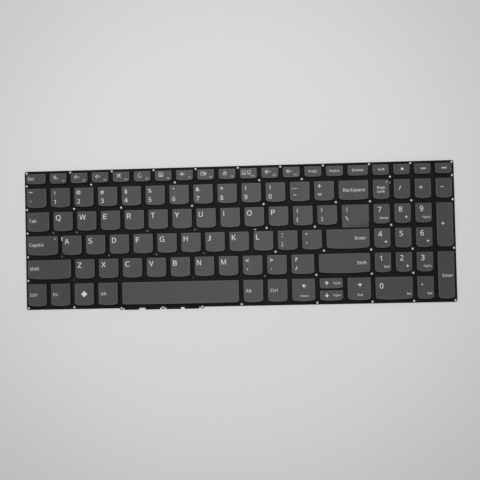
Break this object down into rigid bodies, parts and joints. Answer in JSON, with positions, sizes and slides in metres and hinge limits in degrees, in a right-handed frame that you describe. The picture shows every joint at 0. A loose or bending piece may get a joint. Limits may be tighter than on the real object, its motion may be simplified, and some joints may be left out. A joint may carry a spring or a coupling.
{
  "type": "laptop keyboard",
  "caption": "Thin black laptop keyboard module: low keycaps with bowed front edges on scissor links and rubber domes, over a membrane and a perforated plate.",
  "frame": {"origin": "middle of the plate's back face in plan, front tongues included, on the surface it lies on", "axes": "+X to the number pad side, +Y to the function row, +Z out of the key tops"},
  "size_m": [0.341, 0.1124, 0.0044],
  "materials": {
    "keycap": "fine matte texture, dark grey",
    "plate": "satin black coating on sheet metal",
    "membrane": "black film, satin",
    "dome": "translucent grey rubber",
    "link": "natural white moulded plastic"
  },
  "bodies": {
    "plate": {"base_plate": "plate", "membrane": "membrane", "rubber_domes": "dome", "scissor_links": "link", "function_row_keys": "keycap", "number_row_keys": "keycap", "number_pad_keys": "keycap"},
    "a_key": {"key_a": "keycap"},
    "apostrophe_key": {"key_apostrophe": "keycap"},
    "arrow_down_key": {"key_arrow_down": "keycap"},
    "arrow_left_key": {"key_arrow_left": "keycap"},
    "arrow_right_key": {"key_arrow_right": "keycap"},
    "arrow_up_key": {"key_arrow_up": "keycap"},
    "b_key": {"key_b": "keycap"},
    "backslash_key": {"key_backslash": "keycap"},
    "c_key": {"key_c": "keycap"},
    "caps_lock_key": {"key_caps_lock": "keycap"},
    "comma_key": {"key_comma": "keycap"},
    "d_key": {"key_d": "keycap"},
    "e_key": {"key_e": "keycap"},
    "enter_key": {"key_enter": "keycap"},
    "f_key": {"key_f": "keycap"},
    "fn_key": {"key_fn": "keycap"},
    "g_key": {"key_g": "keycap"},
    "h_key": {"key_h": "keycap"},
    "i_key": {"key_i": "keycap"},
    "j_key": {"key_j": "keycap"},
    "k_key": {"key_k": "keycap"},
    "l_key": {"key_l": "keycap"},
    "left_alt_key": {"key_left_alt": "keycap"},
    "left_bracket_key": {"key_left_bracket": "keycap"},
    "left_ctrl_key": {"key_left_ctrl": "keycap"},
    "left_shift_key": {"key_left_shift": "keycap"},
    "m_key": {"key_m": "keycap"},
    "n_key": {"key_n": "keycap"},
    "o_key": {"key_o": "keycap"},
    "p_key": {"key_p": "keycap"},
    "pad_0_key": {"key_pad_0": "keycap"},
    "pad_enter_key": {"key_pad_enter": "keycap"},
    "pad_plus_key": {"key_pad_plus": "keycap"},
    "period_key": {"key_period": "keycap"},
    "q_key": {"key_q": "keycap"},
    "r_key": {"key_r": "keycap"},
    "right_alt_key": {"key_right_alt": "keycap"},
    "right_bracket_key": {"key_right_bracket": "keycap"},
    "right_ctrl_key": {"key_right_ctrl": "keycap"},
    "right_shift_key": {"key_right_shift": "keycap"},
    "s_key": {"key_s": "keycap"},
    "semicolon_key": {"key_semicolon": "keycap"},
    "slash_key": {"key_slash": "keycap"},
    "space_key": {"key_space": "keycap"},
    "system_key": {"key_system": "keycap"},
    "t_key": {"key_t": "keycap"},
    "tab_key": {"key_tab": "keycap"},
    "u_key": {"key_u": "keycap"},
    "v_key": {"key_v": "keycap"},
    "w_key": {"key_w": "keycap"},
    "x_key": {"key_x": "keycap"},
    "y_key": {"key_y": "keycap"},
    "z_key": {"key_z": "keycap"}
  },
  "joints": [
    {"name": "a_press", "type": "slide", "parent": "plate", "child": "a_key", "axis": [0, 0, -1], "range_m": [0, 0.0014], "stiffness_N_per_m": 400, "deforming": ["rubber_domes", "scissor_links"]},
    {"name": "apostrophe_press", "type": "slide", "parent": "plate", "child": "apostrophe_key", "axis": [0, 0, -1], "range_m": [0, 0.0014], "stiffness_N_per_m": 400, "deforming": ["rubber_domes", "scissor_links"]},
    {"name": "arrow_down_press", "type": "slide", "parent": "plate", "child": "arrow_down_key", "axis": [0, 0, -1], "range_m": [0, 0.0014], "stiffness_N_per_m": 400, "deforming": ["rubber_domes", "scissor_links"]},
    {"name": "arrow_left_press", "type": "slide", "parent": "plate", "child": "arrow_left_key", "axis": [0, 0, -1], "range_m": [0, 0.0014], "stiffness_N_per_m": 400, "deforming": ["rubber_domes", "scissor_links"]},
    {"name": "arrow_right_press", "type": "slide", "parent": "plate", "child": "arrow_right_key", "axis": [0, 0, -1], "range_m": [0, 0.0014], "stiffness_N_per_m": 400, "deforming": ["rubber_domes", "scissor_links"]},
    {"name": "arrow_up_press", "type": "slide", "parent": "plate", "child": "arrow_up_key", "axis": [0, 0, -1], "range_m": [0, 0.0014], "stiffness_N_per_m": 400, "deforming": ["rubber_domes", "scissor_links"]},
    {"name": "b_press", "type": "slide", "parent": "plate", "child": "b_key", "axis": [0, 0, -1], "range_m": [0, 0.0014], "stiffness_N_per_m": 400, "deforming": ["rubber_domes", "scissor_links"]},
    {"name": "backslash_press", "type": "slide", "parent": "plate", "child": "backslash_key", "axis": [0, 0, -1], "range_m": [0, 0.0014], "stiffness_N_per_m": 400, "deforming": ["rubber_domes", "scissor_links"]},
    {"name": "c_press", "type": "slide", "parent": "plate", "child": "c_key", "axis": [0, 0, -1], "range_m": [0, 0.0014], "stiffness_N_per_m": 400, "deforming": ["rubber_domes", "scissor_links"]},
    {"name": "caps_lock_press", "type": "slide", "parent": "plate", "child": "caps_lock_key", "axis": [0, 0, -1], "range_m": [0, 0.0014], "stiffness_N_per_m": 400, "deforming": ["rubber_domes", "scissor_links"]},
    {"name": "comma_press", "type": "slide", "parent": "plate", "child": "comma_key", "axis": [0, 0, -1], "range_m": [0, 0.0014], "stiffness_N_per_m": 400, "deforming": ["rubber_domes", "scissor_links"]},
    {"name": "d_press", "type": "slide", "parent": "plate", "child": "d_key", "axis": [0, 0, -1], "range_m": [0, 0.0014], "stiffness_N_per_m": 400, "deforming": ["rubber_domes", "scissor_links"]},
    {"name": "e_press", "type": "slide", "parent": "plate", "child": "e_key", "axis": [0, 0, -1], "range_m": [0, 0.0014], "stiffness_N_per_m": 400, "deforming": ["rubber_domes", "scissor_links"]},
    {"name": "enter_press", "type": "slide", "parent": "plate", "child": "enter_key", "axis": [0, 0, -1], "range_m": [0, 0.0014], "stiffness_N_per_m": 400, "deforming": ["rubber_domes", "scissor_links"]},
    {"name": "f_press", "type": "slide", "parent": "plate", "child": "f_key", "axis": [0, 0, -1], "range_m": [0, 0.0014], "stiffness_N_per_m": 400, "deforming": ["rubber_domes", "scissor_links"]},
    {"name": "fn_press", "type": "slide", "parent": "plate", "child": "fn_key", "axis": [0, 0, -1], "range_m": [0, 0.0014], "stiffness_N_per_m": 400, "deforming": ["rubber_domes", "scissor_links"]},
    {"name": "g_press", "type": "slide", "parent": "plate", "child": "g_key", "axis": [0, 0, -1], "range_m": [0, 0.0014], "stiffness_N_per_m": 400, "deforming": ["rubber_domes", "scissor_links"]},
    {"name": "h_press", "type": "slide", "parent": "plate", "child": "h_key", "axis": [0, 0, -1], "range_m": [0, 0.0014], "stiffness_N_per_m": 400, "deforming": ["rubber_domes", "scissor_links"]},
    {"name": "i_press", "type": "slide", "parent": "plate", "child": "i_key", "axis": [0, 0, -1], "range_m": [0, 0.0014], "stiffness_N_per_m": 400, "deforming": ["rubber_domes", "scissor_links"]},
    {"name": "j_press", "type": "slide", "parent": "plate", "child": "j_key", "axis": [0, 0, -1], "range_m": [0, 0.0014], "stiffness_N_per_m": 400, "deforming": ["rubber_domes", "scissor_links"]},
    {"name": "k_press", "type": "slide", "parent": "plate", "child": "k_key", "axis": [0, 0, -1], "range_m": [0, 0.0014], "stiffness_N_per_m": 400, "deforming": ["rubber_domes", "scissor_links"]},
    {"name": "l_press", "type": "slide", "parent": "plate", "child": "l_key", "axis": [0, 0, -1], "range_m": [0, 0.0014], "stiffness_N_per_m": 400, "deforming": ["rubber_domes", "scissor_links"]},
    {"name": "left_alt_press", "type": "slide", "parent": "plate", "child": "left_alt_key", "axis": [0, 0, -1], "range_m": [0, 0.0014], "stiffness_N_per_m": 400, "deforming": ["rubber_domes", "scissor_links"]},
    {"name": "left_bracket_press", "type": "slide", "parent": "plate", "child": "left_bracket_key", "axis": [0, 0, -1], "range_m": [0, 0.0014], "stiffness_N_per_m": 400, "deforming": ["rubber_domes", "scissor_links"]},
    {"name": "left_ctrl_press", "type": "slide", "parent": "plate", "child": "left_ctrl_key", "axis": [0, 0, -1], "range_m": [0, 0.0014], "stiffness_N_per_m": 400, "deforming": ["rubber_domes", "scissor_links"]},
    {"name": "left_shift_press", "type": "slide", "parent": "plate", "child": "left_shift_key", "axis": [0, 0, -1], "range_m": [0, 0.0014], "stiffness_N_per_m": 400, "deforming": ["rubber_domes", "scissor_links"]},
    {"name": "m_press", "type": "slide", "parent": "plate", "child": "m_key", "axis": [0, 0, -1], "range_m": [0, 0.0014], "stiffness_N_per_m": 400, "deforming": ["rubber_domes", "scissor_links"]},
    {"name": "n_press", "type": "slide", "parent": "plate", "child": "n_key", "axis": [0, 0, -1], "range_m": [0, 0.0014], "stiffness_N_per_m": 400, "deforming": ["rubber_domes", "scissor_links"]},
    {"name": "o_press", "type": "slide", "parent": "plate", "child": "o_key", "axis": [0, 0, -1], "range_m": [0, 0.0014], "stiffness_N_per_m": 400, "deforming": ["rubber_domes", "scissor_links"]},
    {"name": "p_press", "type": "slide", "parent": "plate", "child": "p_key", "axis": [0, 0, -1], "range_m": [0, 0.0014], "stiffness_N_per_m": 400, "deforming": ["rubber_domes", "scissor_links"]},
    {"name": "pad_0_press", "type": "slide", "parent": "plate", "child": "pad_0_key", "axis": [0, 0, -1], "range_m": [0, 0.0014], "stiffness_N_per_m": 400, "deforming": ["rubber_domes", "scissor_links"]},
    {"name": "pad_enter_press", "type": "slide", "parent": "plate", "child": "pad_enter_key", "axis": [0, 0, -1], "range_m": [0, 0.0014], "stiffness_N_per_m": 400, "deforming": ["rubber_domes", "scissor_links"]},
    {"name": "pad_plus_press", "type": "slide", "parent": "plate", "child": "pad_plus_key", "axis": [0, 0, -1], "range_m": [0, 0.0014], "stiffness_N_per_m": 400, "deforming": ["rubber_domes", "scissor_links"]},
    {"name": "period_press", "type": "slide", "parent": "plate", "child": "period_key", "axis": [0, 0, -1], "range_m": [0, 0.0014], "stiffness_N_per_m": 400, "deforming": ["rubber_domes", "scissor_links"]},
    {"name": "q_press", "type": "slide", "parent": "plate", "child": "q_key", "axis": [0, 0, -1], "range_m": [0, 0.0014], "stiffness_N_per_m": 400, "deforming": ["rubber_domes", "scissor_links"]},
    {"name": "r_press", "type": "slide", "parent": "plate", "child": "r_key", "axis": [0, 0, -1], "range_m": [0, 0.0014], "stiffness_N_per_m": 400, "deforming": ["rubber_domes", "scissor_links"]},
    {"name": "right_alt_press", "type": "slide", "parent": "plate", "child": "right_alt_key", "axis": [0, 0, -1], "range_m": [0, 0.0014], "stiffness_N_per_m": 400, "deforming": ["rubber_domes", "scissor_links"]},
    {"name": "right_bracket_press", "type": "slide", "parent": "plate", "child": "right_bracket_key", "axis": [0, 0, -1], "range_m": [0, 0.0014], "stiffness_N_per_m": 400, "deforming": ["rubber_domes", "scissor_links"]},
    {"name": "right_ctrl_press", "type": "slide", "parent": "plate", "child": "right_ctrl_key", "axis": [0, 0, -1], "range_m": [0, 0.0014], "stiffness_N_per_m": 400, "deforming": ["rubber_domes", "scissor_links"]},
    {"name": "right_shift_press", "type": "slide", "parent": "plate", "child": "right_shift_key", "axis": [0, 0, -1], "range_m": [0, 0.0014], "stiffness_N_per_m": 400, "deforming": ["rubber_domes", "scissor_links"]},
    {"name": "s_press", "type": "slide", "parent": "plate", "child": "s_key", "axis": [0, 0, -1], "range_m": [0, 0.0014], "stiffness_N_per_m": 400, "deforming": ["rubber_domes", "scissor_links"]},
    {"name": "semicolon_press", "type": "slide", "parent": "plate", "child": "semicolon_key", "axis": [0, 0, -1], "range_m": [0, 0.0014], "stiffness_N_per_m": 400, "deforming": ["rubber_domes", "scissor_links"]},
    {"name": "slash_press", "type": "slide", "parent": "plate", "child": "slash_key", "axis": [0, 0, -1], "range_m": [0, 0.0014], "stiffness_N_per_m": 400, "deforming": ["rubber_domes", "scissor_links"]},
    {"name": "space_press", "type": "slide", "parent": "plate", "child": "space_key", "axis": [0, 0, -1], "range_m": [0, 0.0014], "stiffness_N_per_m": 400, "deforming": ["rubber_domes", "scissor_links"]},
    {"name": "system_press", "type": "slide", "parent": "plate", "child": "system_key", "axis": [0, 0, -1], "range_m": [0, 0.0014], "stiffness_N_per_m": 400, "deforming": ["rubber_domes", "scissor_links"]},
    {"name": "t_press", "type": "slide", "parent": "plate", "child": "t_key", "axis": [0, 0, -1], "range_m": [0, 0.0014], "stiffness_N_per_m": 400, "deforming": ["rubber_domes", "scissor_links"]},
    {"name": "tab_press", "type": "slide", "parent": "plate", "child": "tab_key", "axis": [0, 0, -1], "range_m": [0, 0.0014], "stiffness_N_per_m": 400, "deforming": ["rubber_domes", "scissor_links"]},
    {"name": "u_press", "type": "slide", "parent": "plate", "child": "u_key", "axis": [0, 0, -1], "range_m": [0, 0.0014], "stiffness_N_per_m": 400, "deforming": ["rubber_domes", "scissor_links"]},
    {"name": "v_press", "type": "slide", "parent": "plate", "child": "v_key", "axis": [0, 0, -1], "range_m": [0, 0.0014], "stiffness_N_per_m": 400, "deforming": ["rubber_domes", "scissor_links"]},
    {"name": "w_press", "type": "slide", "parent": "plate", "child": "w_key", "axis": [0, 0, -1], "range_m": [0, 0.0014], "stiffness_N_per_m": 400, "deforming": ["rubber_domes", "scissor_links"]},
    {"name": "x_press", "type": "slide", "parent": "plate", "child": "x_key", "axis": [0, 0, -1], "range_m": [0, 0.0014], "stiffness_N_per_m": 400, "deforming": ["rubber_domes", "scissor_links"]},
    {"name": "y_press", "type": "slide", "parent": "plate", "child": "y_key", "axis": [0, 0, -1], "range_m": [0, 0.0014], "stiffness_N_per_m": 400, "deforming": ["rubber_domes", "scissor_links"]},
    {"name": "z_press", "type": "slide", "parent": "plate", "child": "z_key", "axis": [0, 0, -1], "range_m": [0, 0.0014], "stiffness_N_per_m": 400, "deforming": ["rubber_domes", "scissor_links"]}
  ]
}
